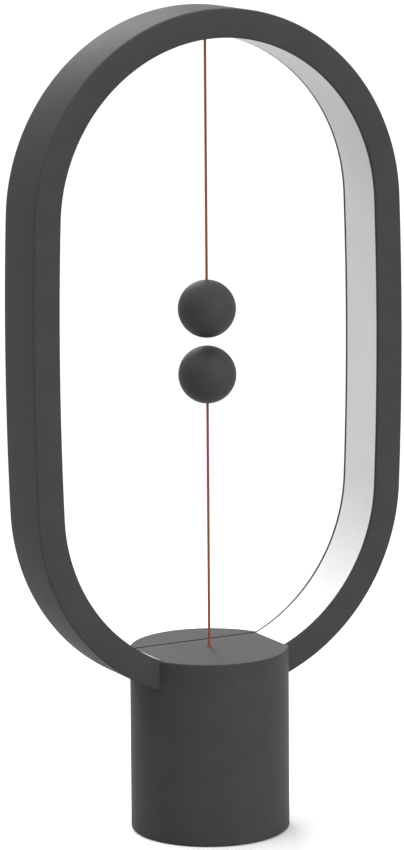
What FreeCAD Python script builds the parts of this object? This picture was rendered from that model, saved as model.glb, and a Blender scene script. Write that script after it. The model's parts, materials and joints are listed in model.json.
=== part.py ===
"""Magnetic balance lamp: an oval light ring on a round base, with two magnetic balls on strings.

Millimetres.  +Z is up, -Y is the front, and the origin is on the table under the middle of the base.
The upper ball hangs from the crown of the ring.  The lower ball's string comes out of the base, where
it lifts the slider of a switch, so the lamp is lit while the magnets hold the two balls face to face.
"""
import FreeCAD, Part
import math
import os

V = FreeCAD.Vector
ORIGIN, X_AXIS, Y_AXIS, Z_AXIS = V(0, 0, 0), V(1, 0, 0), V(0, 1, 0), V(0, 0, 1)
LEFT_RIGHT = (-1, 1)

# ---------------------------------------------------------------- driving sizes: the whole lamp
overall_height = 400.0
base_diameter = 77.2
base_height = 90.0
ball_diameter = 27.9
ball_gap = 4.0                # clear air between the two balls
gap_height = 239.8            # height of the middle of that air gap
string_diameter = 1.3

# the ring: two end arcs joined by two shallow side arcs
ring_width = 199.2
ring_side_bow = 1.3           # how far each side arc bulges past the end arcs
ring_sunk = 21.0              # how far the ring's lowest line lies under the top of the base
ring_thickness = 13.9
ring_depth = 31.2
ring_wall = 1.4
ring_cover_thickness = 1.8
ring_grip = 20.6              # reach of the ring into the base, on each side
ring_front_round = 1.0
ring_rear_round = 0.3

# the light band in the ring
diffuser_thickness = 1.8
ledge_thickness = 1.2
ledge_depth = 1.5
strip_thickness = 0.4
strip_width = 10.0
chip_length, chip_width, chip_height = 3.5, 2.8, 0.8
chip_pitch = 15.0
chip_end_margin = 16.0
solder_thickness = 0.02

# tabs and screws of the ring, inside the base
tab_gap = 1.5                 # from the ring's cut end to its tab
tab_width = 9.0
tab_drop = 8.0                # from the ring's lowest face to the screw through the tab
cover_boss_radius = 2.6

# the base shells
base_wall = 2.0
base_top_wall = 2.5
base_top_chamfer = 0.4
base_foot_chamfer = 0.6
seam_gap = 0.8
lap_thickness = 1.2
lap_depth = 4.0

# fits
seat_clearance = 0.1          # between pieces that are fixed to each other
running_clearance = 0.25      # between pieces that slide or turn
flex_clearance = 0.3          # bare air round the place where a string bends
screw_clearance = 0.05        # round the shank of a screw
pin_clearance = 0.05          # round the lever's pin
tip_clearance = 1.0           # past the tip of a screw

# bottom plate, foot and ballast
foot_height = 0.4
foot_sunk = 0.8
foot_inset = 1.0              # from the edge of the bottom plate's seat to the foot
foot_width = 3.2
foot_round = 0.3
plate_thickness = 2.4
plate_screw_inset = 8.0
plate_screw_front_angle = 43.0
plate_screw_rear_angle = 58.0
boss_radius = 3.4
plate_boss_height = 10.0
ballast_thickness = 8.0
ballast_edge_gap = 3.2
ballast_post_radius = 4.0
washer_overlap = 2.4
washer_thickness = 0.8

# small slotted screws
screw_shank_radius = 1.2
screw_head_radius = 2.4
screw_head_height = 1.4
screw_length = 8.0
slot_width = 0.7
slot_depth = 0.6

# main board
board_edge_gap = 6.6
board_thickness = 1.6
board_gap = 4.0               # between the ballast and the board
board_post_inset = 5.0
board_post_angles = (190.0, -60.0, 18.0)
post_radius = 3.0
board_tongue_width = 15.0

# socket for the supply plug
socket_width, socket_height, socket_length = 8.94, 3.26, 7.4
socket_wall = 0.3
socket_recess = 2.4           # from the outside of the base to the mouth of the socket
socket_overhang = 1.3         # of its mouth past the edge of the board
socket_tongue_width, socket_tongue_height = 6.7, 0.7
socket_tongue_inset = 0.8
socket_block_length = 1.6
port_width, port_height = 12.4, 7.0

# soldered parts on the board: length, width, height, then x and y; or radius, height, x and y
driver_chip = (5.0, 4.0, 1.5, -10.0, 16.0)
coil = (6.0, 6.0, 3.0, -17.0, -14.0)
capacitors = ((2.5, 5.4, -4.0, -20.0), (2.0, 5.4, 3.5, -20.5))
resistor_size = (1.6, 0.8, 0.5)
resistor_row_y = 21.0
resistor_xs = (-9.0, -6.0, 6.0, 9.0)

# string switch
guide_radius = 7.0
guide_bore_radius = 4.6
guide_height = 29.0
guide_foot_height = 2.0
guide_foot_margin = 1.0       # of the foot round the head of its screw
slider_height = 10.0
slider_floor = 8.5            # from the board to the underside of the slider when it is up
slider_travel = 3.0
stem_radius = 2.1
arm_width, arm_thickness = 3.0, 2.0
arm_reach = 12.5
arm_lift = 3.0                # from the underside of the slider to the underside of its arm
cap_thickness = 2.0
cap_spigot = 1.5
spring_wire_radius = 0.25
spring_mean_radius = 3.4
spring_turns = 6
knot_radius, knot_height = 1.5, 2.4
knot_pocket_depth = 4.0

# lever switch that the slider's arm presses
switch_length, switch_width, switch_height = 12.8, 5.8, 6.5
switch_end_x = 25.0
lever_hinge_inset = 2.6
lever_hinge_lift = 0.9
lever_tip_x = 9.0
lever_width, lever_thickness = 3.2, 0.3
lever_pin_radius = 0.3
lever_knuckle_radius = 0.7
lever_ear_width = 2.2
lever_ear_rise = 0.9          # of the ears over the pin
plunger_length, plunger_width = 1.2, 2.4
plunger_from_hinge = 3.0
plunger_travel = 0.55
plunger_foot = 1.0            # of the plunger inside its well, at rest

# string guides
base_hole_radius = 1.2
bush_radius = 2.6
bush_flange_radius = 3.6
bush_flange_thickness = 1.0
bush_length = 6.0
collar_wall = 1.4
anchor_bar_length = 12.0
anchor_bar_thickness = 2.0

# balls
ball_wall = 2.4
ball_lap_thickness = 0.8      # of the cup's rim, inside the cap
ball_lap_height = 2.0
magnet_radius = 6.0
magnet_thickness = 5.0
magnet_face_wall = 1.4        # thinnest shell between the magnet and the outside of the ball
magnet_rim = 1.5
retainer_thickness = 1.5
string_boss_radius = 3.0
string_boss_depth = 6.0
ball_hole_clearance = 0.2

# leads to the light strip
lead_diameter = 1.3
lead_spacing = 3.0
lead_rise = 6.0               # straight out of the header
lead_inside = 6.0             # from the ring's cut end to the lead's upright run
lead_landing = 3.0            # of the lead on the light strip
header_length, header_width, header_height = 6.0, 7.6, 6.0
header_gap = 5.0              # from the slider's guide
header_well_floor = 2.0

# ---------------------------------------------------------------- sizes that follow from them
half_depth = ring_depth / 2
front_y, rear_y = -half_depth, half_depth
parting_y = rear_y - ring_cover_thickness
base_radius = base_diameter / 2
base_inner_radius = base_radius - base_wall
base_under_top = base_height - base_top_wall
ball_radius = ball_diameter / 2
string_radius = string_diameter / 2

half_width = ring_width / 2
ring_end_radius = half_width - ring_side_bow
ring_bottom = base_height - ring_sunk
ring_mid_z = (overall_height + ring_bottom) / 2
end_centre_rise = overall_height - ring_end_radius - ring_mid_z
side_radius = (end_centre_rise ** 2 / ring_side_bow + ring_end_radius + half_width) / 2
side_centre_x = side_radius - half_width
blend_angle = math.atan2(end_centre_rise, side_centre_x)
end_centre_z = ring_mid_z - end_centre_rise
crown_z = overall_height - ring_thickness
ring_end_x = base_radius - ring_grip
ring_end_lean = math.asin(ring_end_x / ring_end_radius)
ledge_inset = ring_thickness - diffuser_thickness - ledge_thickness
tab_x = ring_end_x + tab_gap + tab_width / 2

plate_z = foot_height
plate_top = plate_z + plate_thickness
ballast_radius = base_inner_radius - ballast_edge_gap
ballast_top = plate_top + ballast_thickness
washer_top = ballast_top + washer_thickness
board_z = ballast_top + board_gap
board_top = board_z + board_thickness
board_radius = base_inner_radius - board_edge_gap
boss_top = plate_top + plate_boss_height

pilot_radius = screw_shank_radius + screw_clearance
guide_foot_y = guide_radius + screw_head_radius + guide_foot_margin
guide_foot_top = board_top + guide_foot_height
guide_top = board_top + guide_height
stop_z = guide_top - cap_spigot
slider_z = board_top + slider_floor
slider_top = slider_z + slider_height
arm_z = slider_z + arm_lift
knot_seat_z = slider_z + knot_pocket_depth

upper_pivot_z = crown_z - string_radius - flex_clearance
lower_pivot_z = base_height + slider_travel + string_radius + flex_clearance
upper_ball_z = gap_height + ball_gap / 2 + ball_radius
lower_ball_z = gap_height - ball_gap / 2 - ball_radius
anchor_z = overall_height - ledge_inset + seat_clearance
anchor_top = anchor_z + anchor_bar_thickness

mouth_y = base_radius - socket_recess
socket_z = board_top + socket_height / 2
switch_top = board_top + switch_height
hinge_x = switch_end_x - lever_hinge_inset
hinge_z = switch_top + lever_hinge_lift
lever_tip_z = arm_z - running_clearance
lever_slope = (lever_tip_z - hinge_z) / (hinge_x - lever_tip_x)
plunger_x = hinge_x - plunger_from_hinge
header_x = -(guide_radius + header_gap + header_length / 2)
magnet_low = -math.sqrt((ball_radius - magnet_face_wall) ** 2 - magnet_radius ** 2)
magnet_high = magnet_low + magnet_thickness


# ---------------------------------------------------------------- shapes used by many pieces
def box(x0, x1, y0, y1, z0, z1):
    return Part.makeBox(x1 - x0, y1 - y0, z1 - z0, V(x0, y0, z0))


def centred_box(length, width, z0, z1, x=0.0, y=0.0):
    return box(x - length / 2, x + length / 2, y - width / 2, y + width / 2, z0, z1)


def post(radius, z0, z1, x=0.0, y=0.0):
    """An upright cylinder between two heights, given in either order."""
    return Part.makeCylinder(radius, abs(z1 - z0), V(x, y, min(z0, z1)), Z_AXIS)


def rod_y(radius, y0, y1, x, z):
    return Part.makeCylinder(radius, y1 - y0, V(x, y0, z), Y_AXIS)


def tube(outer, inner, z0, z1):
    return post(outer, z0, z1).cut(post(inner, z0, z1))


def fuse(first, *others):
    return first.fuse(list(others)).removeSplitter()


def cut(first, *tools):
    return first.cut(list(tools))


def around(radius, *angles):
    """Places (x, y) on a circle, at angles in degrees from +X."""
    return [(radius * math.cos(math.radians(a)), radius * math.sin(math.radians(a))) for a in angles]


def arc(centre_x, centre_z, radius, start, end, y):
    def point(angle):
        return V(centre_x + radius * math.cos(angle), y, centre_z + radius * math.sin(angle))
    return Part.Arc(point(start), point((start + end) / 2), point(end)).toShape()


def oval_face(inset, y):
    """The ring's outline, drawn inset millimetres inside its outer edge, on the plane of that y."""
    end, side, lean = ring_end_radius - inset, side_radius - inset, blend_angle
    edges = [
        arc(0, ring_mid_z + end_centre_rise, end, lean, math.pi - lean, y),
        arc(side_centre_x, ring_mid_z, side, math.pi - lean, math.pi + lean, y),
        arc(0, end_centre_z, end, math.pi + lean, 2 * math.pi - lean, y),
        arc(-side_centre_x, ring_mid_z, side, -lean, lean, y),
    ]
    return Part.Face(Part.Wire(edges))


def oval_disc(inset, y0, y1):
    return oval_face(inset, y0).extrude(V(0, y1 - y0, 0))


def oval_band(outer_inset, inner_inset, y0, y1):
    return oval_disc(outer_inset, y0, y1).cut(oval_disc(inner_inset, y0, y1))


def oval_bottom_z(inset, x):
    """Height of the lower end arc, at that inset and x."""
    return end_centre_z - math.sqrt((ring_end_radius - inset) ** 2 - x ** 2)


def open_at_base(shape):
    """Takes away what would lie inside the base between the ring's two ends, cut square to its path."""
    low_z = end_centre_z - 2 * ring_end_radius
    reach = 2 * ring_end_radius * math.tan(ring_end_lean)
    start = 2 * front_y
    corners = [V(0, start, end_centre_z), V(-reach, start, low_z), V(reach, start, low_z)]
    wedge = Part.Face(Part.makePolygon(corners + corners[:1])).extrude(V(0, 2 * ring_depth, 0))
    return shape.cut(wedge)


def along_oval(inset, pitch):
    """Places (x, z, angle) every pitch millimetres along the ring, from the crown down both sides."""
    end, side = ring_end_radius - inset, side_radius - inset
    right = [
        (0, end_centre_z, end, ring_end_lean - math.pi / 2, -blend_angle),
        (-side_centre_x, ring_mid_z, side, -blend_angle, blend_angle),
        (0, ring_mid_z + end_centre_rise, end, blend_angle, math.pi / 2),
    ]
    half_length = sum(radius * (b - a) for _, _, radius, a, b in right)
    places = []
    for number in range(int((half_length - chip_end_margin) // pitch)):
        left = half_length - (number + 0.5) * pitch
        for cx, cz, radius, a, b in right:
            if left <= radius * (b - a):
                angle = a + left / radius
                places.append((cx + radius * math.cos(angle), cz + radius * math.sin(angle), angle))
                break
            left -= radius * (b - a)
    return places + [(-x, z, math.pi - angle) for x, z, angle in places]


def edges_on(shape, axis, level):
    """Every edge that lies in the plane where that axis ("x", "y" or "z") equals level."""
    def on_plane(edge):
        points = [v.Point for v in edge.Vertexes] + [edge.CenterOfMass]
        return all(abs(getattr(p, axis) - level) < 1e-6 for p in points)
    return [edge for edge in shape.Edges if on_plane(edge)]


def round_edges_on(shape, radius, axis, level):
    return shape.makeFillet(radius, edges_on(shape, axis, level))


def screw(x, y, z, head_up=True):
    """A slotted screw whose head bears on height z; its shank runs away from the head."""
    way = 1 if head_up else -1
    top = z + way * screw_head_height
    shank = post(screw_shank_radius, z, z - way * screw_length, x, y)
    head = post(screw_head_radius, z, top, x, y)
    low, high = sorted((top, top - way * slot_depth))
    slot = centred_box(3 * screw_head_radius, slot_width, low, high, x, y)
    return fuse(shank, head).cut(slot)


def screw_from_rear(x, y, z):
    """The same screw lying along Y: its head bears on the plane of that y and its shank runs forward."""
    lying = screw(0, 0, 0)
    lying.rotate(ORIGIN, X_AXIS, -90)
    lying.translate(V(x, y, z))
    return lying


def stadium(width, height, y0, y1, z):
    """A bar along Y with a round-ended section, the shape of the supply plug."""
    radius = height / 2
    reach = width / 2 - radius
    bar = box(-reach, reach, y0, y1, z - radius, z + radius)
    return fuse(bar, rod_y(radius, y0, y1, -reach, z), rod_y(radius, y0, y1, reach, z))


# ---------------------------------------------------------------- places that need those shapes
tab_screw_z = oval_bottom_z(0, tab_x) - tab_drop
tab_low_z = tab_screw_z - tab_width / 2
strip_face = ring_wall + strip_thickness
cover_boss_z = (oval_bottom_z(strip_face + chip_height, tab_x)
                + oval_bottom_z(ring_thickness - diffuser_thickness, tab_x)) / 2
front_screw_places = around(base_inner_radius - plate_screw_inset,
                            -plate_screw_front_angle, plate_screw_front_angle - 180)
rear_screw_places = around(base_inner_radius - plate_screw_inset,
                           plate_screw_rear_angle, 180 - plate_screw_rear_angle)
plate_screw_places = front_screw_places + rear_screw_places
board_screw_places = around(board_radius - board_post_inset, *board_post_angles)
guide_screw_places = [(0.0, guide_foot_y), (0.0, -guide_foot_y)]


# ---------------------------------------------------------------- ring
def ledge(y0, y1):
    """The rail inside the ring that the diffuser is pressed against."""
    return oval_band(ledge_inset, ledge_inset + ledge_thickness - seat_clearance, y0, y1)


def ring_frame():
    """Front and outer wall of the ring in one moulding, with its tabs and the bosses for its cover."""
    inside_y = front_y + ring_wall
    block = oval_band(0, ring_thickness, front_y, parting_y)
    block = round_edges_on(block, ring_front_round, "y", front_y)
    frame = fuse(block.cut(oval_disc(ring_wall, inside_y, rear_y)), ledge(inside_y, inside_y + ledge_depth))
    frame = open_at_base(frame)
    for side in LEFT_RIGHT:
        x = side * tab_x
        tab_top = oval_bottom_z(ring_wall / 2, tab_x - tab_width / 2)
        tab = box(x - tab_width / 2, x + tab_width / 2, front_y, inside_y, tab_low_z, tab_top)
        boss = rod_y(cover_boss_radius, inside_y, parting_y, x, cover_boss_z)
        hole = rod_y(pilot_radius, front_y, inside_y, x, tab_screw_z)
        pilot_start = parting_y - screw_length - tip_clearance
        pilot = rod_y(pilot_radius, pilot_start, parting_y, x, cover_boss_z)
        frame = cut(fuse(frame, tab, boss), hole, pilot)
    return frame


def ring_rear_cover():
    """Flat rear cover of the ring, with a lip inside the outer wall and a rail for the diffuser."""
    lip_y = parting_y - ledge_depth
    lip_inset = ring_wall + seat_clearance
    plate = oval_band(0, ring_thickness, parting_y, rear_y)
    plate = round_edges_on(plate, ring_rear_round, "y", rear_y)
    lip = oval_band(lip_inset, lip_inset + ledge_thickness, lip_y, parting_y)
    cover = open_at_base(fuse(plate, lip, ledge(lip_y, parting_y)))
    for side in LEFT_RIGHT:
        boss_room = rod_y(cover_boss_radius + seat_clearance, lip_y, parting_y, side * tab_x, cover_boss_z)
        hole = rod_y(pilot_radius, parting_y, rear_y, side * tab_x, cover_boss_z)
        cover = cut(cover, boss_room, hole)
    return cover


def diffuser():
    """Frosted band that closes the ring on its inner side, with a hole for the upper string."""
    band = oval_band(ring_thickness - diffuser_thickness, ring_thickness,
                     front_y + ring_wall + seat_clearance, parting_y - seat_clearance)
    hole = post(base_hole_radius, crown_z - diffuser_thickness, crown_z + 2 * diffuser_thickness)
    return open_at_base(band).cut(hole)


def light_strip():
    return open_at_base(oval_band(ring_wall, strip_face, -strip_width / 2, strip_width / 2))


def light_chips():
    """Flat chips on the curved strip: each one stands on its two ends."""
    end_lift = chip_length ** 2 / (8 * (ring_end_radius - strip_face))
    chips = []
    for x, z, angle in along_oval(strip_face + end_lift + solder_thickness, chip_pitch):
        chip = box(-chip_height, 0, -chip_width / 2, chip_width / 2, -chip_length / 2, chip_length / 2)
        chip.rotate(ORIGIN, Y_AXIS, -math.degrees(angle))
        chip.translate(V(x, 0, z))
        chips.append(chip)
    return Part.makeCompound(chips)


def ring_screws():
    places = [(side * tab_x, front_y + ring_wall, tab_screw_z) for side in LEFT_RIGHT]
    return Part.makeCompound([screw_from_rear(*place) for place in places])


def ring_cover_screws():
    places = [(side * tab_x, rear_y, cover_boss_z) for side in LEFT_RIGHT]
    return Part.makeCompound([screw_from_rear(*place) for place in places])


# ---------------------------------------------------------------- base
def base_body():
    """The whole base as one cup with a closed top, before it is parted into two shells."""
    outer = post(base_radius, plate_z, base_height)
    outer = outer.makeChamfer(base_top_chamfer, edges_on(outer, "z", base_height))
    outer = outer.makeChamfer(base_foot_chamfer, edges_on(outer, "z", plate_z))
    cup = outer.cut(post(base_inner_radius, plate_z, base_under_top))
    ring_room = oval_band(-seat_clearance, ring_thickness + seat_clearance,
                          front_y - seat_clearance, rear_y + seat_clearance)
    return cup.cut(ring_room)


def plate_boss(x, y):
    """A boss that stands on the bottom plate, tied to the wall of the base by a rib."""
    rib = box(math.hypot(x, y), base_radius - base_wall / 2, -boss_radius / 2, boss_radius / 2,
              plate_top, boss_top)
    rib.rotate(ORIGIN, Z_AXIS, math.degrees(math.atan2(y, x)))
    return fuse(post(boss_radius, plate_top, boss_top, x, y), rib)


def plate_pilot(x, y):
    tip = plate_z + screw_head_height + screw_length
    return post(pilot_radius, plate_top, tip + tip_clearance, x, y)


def base_shell():
    """Front of the base with most of its top, the bosses for the ring and the collar for the bush."""
    front_half = box(-base_radius, base_radius, -base_radius, parting_y, 0, base_height)
    collar_inside = bush_radius + seat_clearance
    collar = tube(collar_inside + collar_wall, collar_inside, base_under_top - bush_length, base_under_top)
    shell = fuse(base_body().common(front_half), collar)
    for side in LEFT_RIGHT:
        wall_y = math.sqrt(base_inner_radius ** 2 - (tab_x + boss_radius) ** 2) + base_wall / 2
        boss = rod_y(boss_radius, -wall_y, front_y - seat_clearance, side * tab_x, tab_screw_z)
        pilot_start = front_y + ring_wall - screw_length - tip_clearance
        pilot = rod_y(pilot_radius, pilot_start, front_y, side * tab_x, tab_screw_z)
        shell = fuse(shell, boss).cut(pilot)
    for x, y in front_screw_places:
        shell = fuse(shell, plate_boss(x, y)).cut(plate_pilot(x, y))
    return shell.cut(post(base_hole_radius, base_under_top - bush_length, base_height + base_top_wall))


def base_rear_cover():
    """Rear of the base, behind the ring, with laps that reach inside the front shell."""
    start = parting_y + seam_gap
    rear_half = box(-base_radius, base_radius, start, base_radius, 0, base_height)
    lap_outside = base_inner_radius - seat_clearance
    lap_inside = lap_outside - lap_thickness
    wall_middle = base_radius - base_wall / 2
    lap_window = box(-base_radius, base_radius, parting_y - lap_depth, start + lap_depth, 0, base_height)
    root_window = box(-base_radius, base_radius, start, start + lap_depth, 0, base_height)
    side_lap = tube(lap_outside, lap_inside, boss_top, tab_low_z).common(lap_window)
    side_root = tube(wall_middle, lap_inside, boss_top, tab_low_z).common(root_window)
    tongue_top = base_under_top - seat_clearance
    tongue_x = ring_end_x - lap_thickness
    tongue = box(-tongue_x, tongue_x, parting_y - lap_depth, start + lap_depth,
                 tongue_top - lap_thickness, tongue_top)
    tongue_root = box(-tongue_x, tongue_x, start, start + lap_depth,
                      tongue_top - lap_thickness, base_under_top + base_top_wall / 2)
    cover = fuse(base_body().common(rear_half), side_lap, side_root, tongue, tongue_root)
    for x, y in rear_screw_places:
        cover = fuse(cover, plate_boss(x, y)).cut(plate_pilot(x, y))
    return cover.cut(stadium(port_width, port_height, lap_inside, base_radius + base_wall, socket_z))


def bottom_plate():
    """Disc that closes the base, with posts for the board, for the string switch and for the ballast."""
    plate_radius = base_inner_radius - seat_clearance
    foot_outer = plate_radius - foot_inset
    foot_room = tube(foot_outer + seat_clearance, foot_outer - foot_width - seat_clearance,
                     plate_z, plate_z + foot_sunk)
    plate = post(plate_radius, plate_z, plate_top).cut(foot_room)
    plate = fuse(plate, post(ballast_post_radius, plate_top, ballast_top - seat_clearance))
    plate = plate.cut(post(pilot_radius, washer_top - screw_length - tip_clearance, ballast_top))
    for x, y in board_screw_places + guide_screw_places:
        plate = fuse(plate, post(post_radius, plate_top, board_z, x, y))
        plate = plate.cut(post(pilot_radius, board_z - screw_length, board_z, x, y))
    for x, y in plate_screw_places:
        head_room = post(screw_head_radius + seat_clearance, plate_z, plate_z + screw_head_height, x, y)
        plate = cut(plate, post(pilot_radius, plate_z, plate_top, x, y), head_room)
    return plate


def foot_ring():
    outer = base_inner_radius - seat_clearance - foot_inset
    top = foot_height + foot_sunk - seat_clearance
    return round_edges_on(tube(outer, outer - foot_width, 0, top), foot_round, "z", 0)


def plate_screws():
    places = [(x, y, plate_z + screw_head_height) for x, y in plate_screw_places]
    return Part.makeCompound([screw(*place, head_up=False) for place in places])


def ballast():
    """Steel disc on the bottom plate, notched for the bosses and bored for the posts."""
    room = 2 * seat_clearance
    disc = tube(ballast_radius, ballast_post_radius + seat_clearance, plate_top, ballast_top)
    for x, y in plate_screw_places:
        notch = box(0, base_radius, -boss_radius - room, boss_radius + room, plate_top, ballast_top)
        notch.rotate(ORIGIN, Z_AXIS, math.degrees(math.atan2(y, x)))
        notch.translate(V(x, y, 0))
        disc = cut(disc, notch, post(boss_radius + room, plate_top, ballast_top, x, y))
    for x, y in board_screw_places + guide_screw_places:
        disc = disc.cut(post(post_radius + room, plate_top, ballast_top, x, y))
    return disc


def ballast_washer():
    return tube(ballast_post_radius + washer_overlap, pilot_radius, ballast_top, washer_top)


# ---------------------------------------------------------------- electronics
def main_board():
    half = board_tongue_width / 2
    tongue = box(-half, half, 0, mouth_y - socket_overhang, board_z, board_top)
    board = fuse(post(board_radius, board_z, board_top), tongue)
    for x, y in board_screw_places + guide_screw_places:
        board = board.cut(post(pilot_radius, board_z, board_top, x, y))
    return board


def board_screws():
    return Part.makeCompound([screw(x, y, board_top) for x, y in board_screw_places])


def socket_shell():
    """Bent metal shell of the supply socket, closed at its back."""
    back = mouth_y - socket_length
    outer = stadium(socket_width, socket_height, back, mouth_y, socket_z)
    inner = stadium(socket_width - 2 * socket_wall, socket_height - 2 * socket_wall,
                    back + socket_wall, mouth_y, socket_z)
    return outer.cut(inner)


def socket_insert():
    """Plastic block at the back of the socket, with the tongue that carries the contacts."""
    back = mouth_y - socket_length + socket_wall
    side_gap = 2 * (socket_wall + screw_clearance)
    block = stadium(socket_width - side_gap, socket_height - side_gap,
                    back, back + socket_block_length, socket_z)
    tongue = box(-socket_tongue_width / 2, socket_tongue_width / 2, back, mouth_y - socket_tongue_inset,
                 socket_z - socket_tongue_height / 2, socket_z + socket_tongue_height / 2)
    return fuse(block, tongue)


def board_parts():
    """Driver chip, coil, capacitors and resistors, all soldered to the top of the board."""
    blocks = [driver_chip, coil] + [(*resistor_size, x, resistor_row_y) for x in resistor_xs]
    parts = [centred_box(length, width, board_top, board_top + height, x, y)
             for length, width, height, x, y in blocks]
    parts += [post(radius, board_top, board_top + height, x, y) for radius, height, x, y in capacitors]
    return Part.makeCompound(parts)


def lead_header():
    """Two-pin header where the leads of the light strip meet the board."""
    block = centred_box(header_length, header_width, board_top, board_top + header_height, header_x)
    wells = [post(lead_diameter / 2 + seat_clearance, board_top + header_well_floor,
                  board_top + header_height, header_x, side * lead_spacing / 2) for side in LEFT_RIGHT]
    return cut(block, *wells)


def rounded_tube(points, radius):
    """A round tube along straight runs joined by tangent arcs, each as large as its two runs allow."""
    edges, at = [], points[0]
    for before, corner, after in zip(points, points[1:], points[2:]):
        into, out = (corner - before).normalize(), (after - corner).normalize()
        reach = 0.45 * min((corner - before).Length, (after - corner).Length)
        bend_radius = reach / math.tan(into.getAngle(out) / 2)
        first, last = corner - into * reach, corner + out * reach
        to_centre = (out - into).normalize()
        middle = corner + to_centre * (math.hypot(reach, bend_radius) - bend_radius)
        edges += [Part.LineSegment(at, first).toShape(), Part.Arc(first, middle, last).toShape()]
        print(f"  bend radius {bend_radius:.1f}")
        at = last
    edges.append(Part.LineSegment(at, points[-1]).toShape())
    profile = Part.Circle(points[0], (points[1] - points[0]).normalize(), radius).toShape()
    return Part.Wire(edges).makePipeShell([Part.Wire([profile])], True, False)


def lead(y):
    """One lead: up from the header, into the open end of the ring, and down onto the light strip."""
    lead_x = -(ring_end_x - lead_inside)
    end_x = -(ring_end_x + lead_landing)
    turn_z = board_top + header_height + lead_rise
    end_z = oval_bottom_z(strip_face, end_x) + lead_diameter / 2 + seat_clearance
    points = [
        V(header_x, y, board_top + header_well_floor),
        V(header_x, y, turn_z),
        V(lead_x, y, (turn_z + end_z) / 2),
        V(lead_x, y, end_z),
        V(end_x, y, end_z),
    ]
    return rounded_tube(points, lead_diameter / 2)


# ---------------------------------------------------------------- string switch
def slider_guide():
    """Column that the slider runs in, with a slot for its arm and two feet screwed through the board."""
    column = tube(guide_radius, guide_bore_radius, board_top, guide_top)
    foot_width_here = 2 * (screw_head_radius + guide_foot_margin)
    foot_end = guide_foot_y + screw_head_radius + guide_foot_margin
    bar = centred_box(foot_width_here, 2 * foot_end, board_top, guide_foot_top)
    column = fuse(column, bar.cut(post((guide_radius + guide_bore_radius) / 2, board_top, guide_foot_top)))
    for x, y in guide_screw_places:
        column = column.cut(post(pilot_radius, board_top, guide_foot_top, x, y))
    slot_half = arm_width / 2 + running_clearance
    slot = box(0, 2 * guide_radius, -slot_half, slot_half, arm_z - slider_travel - 2 * running_clearance,
               arm_z + arm_thickness + running_clearance)
    return column.cut(slot)


def guide_screws():
    return Part.makeCompound([screw(x, y, guide_foot_top) for x, y in guide_screw_places])


def guide_cap():
    """Lid of the guide, whose spigot stops the slider at the top of its travel."""
    cap = fuse(post(guide_radius, guide_top, guide_top + cap_thickness),
               post(guide_bore_radius - seat_clearance, stop_z, guide_top))
    return cap.cut(post(base_hole_radius, stop_z, guide_top + cap_thickness))


def switch_slider():
    """Barrel with a pocket for the string's knot, a stem inside the spring, and the arm."""
    barrel = post(guide_bore_radius - running_clearance, slider_z, slider_top)
    stem = post(stem_radius, slider_top, stop_z - running_clearance)
    arm = box(0, arm_reach, -arm_width / 2, arm_width / 2, arm_z, arm_z + arm_thickness)
    pocket = post(knot_radius + running_clearance, slider_z, knot_seat_z)
    bore = post(string_radius + seat_clearance, slider_z, stop_z)
    return cut(fuse(barrel, stem, arm), pocket, bore)


def return_spring():
    """Coil between the slider and the cap that pushes the slider down when the string goes slack."""
    low = slider_top + spring_wire_radius + seat_clearance
    high = stop_z - spring_wire_radius - seat_clearance
    helix = Part.makeHelix((high - low) / spring_turns, high - low, spring_mean_radius)
    helix.translate(V(0, 0, low))
    first_edge = helix.Edges[0]
    start = first_edge.valueAt(first_edge.FirstParameter)
    along = first_edge.tangentAt(first_edge.FirstParameter)
    profile = Part.Wire([Part.Circle(start, along, spring_wire_radius).toShape()])
    return Part.Wire(helix.Edges).makePipeShell([profile], True, True)


def slider_knot():
    top = knot_seat_z - seat_clearance
    return post(knot_radius, top - knot_height, top)


def lower_string_run():
    """The stretch of the lower string that only goes up and down, from its knot to where it bends."""
    return post(string_radius, knot_seat_z - seat_clearance, lower_pivot_z - string_radius - seat_clearance)


def switch_case():
    """Case of the lever switch, with a well for its plunger and two ears for its pin."""
    half = switch_width / 2
    case = box(switch_end_x - switch_length, switch_end_x, -half, half, board_top, switch_top)
    well = centred_box(plunger_length + 2 * running_clearance, plunger_width + 2 * running_clearance,
                       switch_top - plunger_foot - plunger_travel - running_clearance, switch_top, plunger_x)
    ears = centred_box(lever_ear_width, switch_width, switch_top, hinge_z + lever_ear_rise, hinge_x)
    between = centred_box(lever_ear_width, lever_width + 2 * running_clearance,
                          switch_top, hinge_z + lever_ear_rise, hinge_x)
    case = fuse(case.cut(well), ears.cut(between))
    return case.cut(rod_y(lever_pin_radius + pin_clearance, -half, half, hinge_x, hinge_z))


def switch_pin():
    return rod_y(lever_pin_radius, -switch_width / 2, switch_width / 2, hinge_x, hinge_z)


def switch_lever():
    """A flat strip from the knuckle round its pin to the tip under the slider's arm."""
    half = lever_width / 2
    knuckle = rod_y(lever_knuckle_radius, -half, half, hinge_x, hinge_z)
    reach = math.hypot(hinge_x - lever_tip_x, lever_tip_z - hinge_z)
    strip = box(-reach, -lever_pin_radius - pin_clearance, -half, half, -lever_thickness, 0)
    strip.rotate(ORIGIN, Y_AXIS, math.degrees(math.atan(lever_slope)))
    strip.translate(V(hinge_x, 0, hinge_z))
    return fuse(knuckle, strip).cut(rod_y(lever_pin_radius + pin_clearance, -half, half, hinge_x, hinge_z))


def switch_plunger():
    near_edge = plunger_from_hinge - plunger_length / 2
    under_lever = hinge_z + lever_slope * near_edge - lever_thickness * math.hypot(1, lever_slope)
    return centred_box(plunger_length, plunger_width, switch_top - plunger_foot,
                       under_lever - seat_clearance, plunger_x)


# ---------------------------------------------------------------- string guides
def base_bush():
    """Flanged bush under the hole in the base's top, so that the string doesn't chafe."""
    flange_top = base_under_top - bush_length
    flange_z = flange_top - bush_flange_thickness
    bush = fuse(post(bush_radius, flange_top, base_under_top), post(bush_flange_radius, flange_z, flange_top))
    return bush.cut(post(base_hole_radius, flange_z, base_under_top))


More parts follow.
